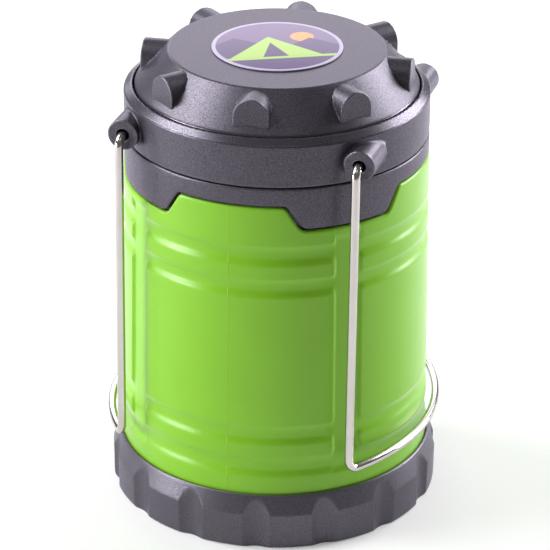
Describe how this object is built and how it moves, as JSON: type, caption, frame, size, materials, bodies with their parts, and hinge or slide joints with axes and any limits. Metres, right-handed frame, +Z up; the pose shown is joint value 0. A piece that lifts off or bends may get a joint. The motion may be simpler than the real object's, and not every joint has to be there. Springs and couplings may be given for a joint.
{
  "type": "camping lantern",
  "caption": "Pull-up camping lantern with a sliding lamp head, ribbed sleeve, fluted battery cover and two bent wire handles.",
  "frame": {"origin": "centre of the base's underside", "axes": "+Z up along the lantern's axis, +Y along the handle hinges"},
  "size_m": [0.0894, 0.0882, 0.1251],
  "materials": {
    "graphite_plastic": "fine metallic grain, satin",
    "green_plastic": "satin gloss",
    "nickel_wire": "polished nickel plate",
    "screw_steel": "zinc plated",
    "spring_steel": "nickel plated",
    "clear_plastic": "clear, polished",
    "mirror_plastic": "vacuum metallised mirror on plastic",
    "white_plastic": "satin",
    "circuit_board": "white solder mask",
    "brass_strip": "bright strip",
    "black_rubber": "matte",
    "cell_wrap": "plain printed wrap",
    "badge_print": "printed film"
  },
  "bodies": {
    "body": {"body_liner": "graphite_plastic", "outer_sleeve": "green_plastic", "battery_housing": "graphite_plastic", "contact_rail_1": "brass_strip", "contact_rail_2": "brass_strip", "housing_screw_1": "screw_steel", "housing_screw_2": "screw_steel", "housing_screw_3": "screw_steel", "battery_cell_1": "cell_wrap", "battery_cell_2": "cell_wrap", "battery_cell_3": "cell_wrap", "top_contact_bridge": "brass_strip", "top_contact_plate": "brass_strip"},
    "head": {"top_cap": "graphite_plastic", "top_badge": "badge_print", "collar": "graphite_plastic", "control_board": "circuit_board", "lens_tube": "clear_plastic", "upper_reflector": "mirror_plastic", "lower_reflector": "mirror_plastic", "carrier_ring": "graphite_plastic", "led_column": "white_plastic", "led_strip_1": "circuit_board", "led_strip_2": "circuit_board", "led_strip_3": "circuit_board", "led_strip_4": "circuit_board", "led_strip_5": "circuit_board", "led_strip_6": "circuit_board", "contact_wiper_1": "brass_strip", "contact_wiper_2": "brass_strip", "cap_screw_1": "screw_steel", "cap_screw_2": "screw_steel", "cap_screw_3": "screw_steel", "cap_screw_4": "screw_steel", "column_screw_1": "screw_steel", "column_screw_2": "screw_steel", "column_screw_3": "screw_steel", "carrier_screw_1": "screw_steel", "carrier_screw_2": "screw_steel", "carrier_screw_3": "screw_steel"},
    "cover": {"battery_cover": "graphite_plastic", "seal_ring": "black_rubber", "spring_carrier": "graphite_plastic", "battery_spring_1": "spring_steel", "battery_spring_2": "spring_steel", "battery_spring_3": "spring_steel"},
    "left_handle": {"left_handle": "nickel_wire"},
    "right_handle": {"right_handle": "nickel_wire"}
  },
  "joints": [
    {"name": "pull_up", "type": "slide", "parent": "body", "child": "head", "axis": [0, 0, 1], "range_m": [0, 0.062]},
    {"name": "cover_twist", "type": "hinge", "parent": "body", "child": "cover", "pos_m": [0, 0, 0], "axis": [0, 0, 1], "range_deg": [0, 32]},
    {"name": "left_handle_swing", "type": "hinge", "parent": "head", "child": "left_handle", "pos_m": [-0.0315, 0, 0.1084], "axis": [0, 1, 0], "range_deg": [0, 192]},
    {"name": "right_handle_swing", "type": "hinge", "parent": "head", "child": "right_handle", "pos_m": [0.0315, 0, 0.1084], "axis": [0, -1, 0], "range_deg": [0, 192]}
  ]
}
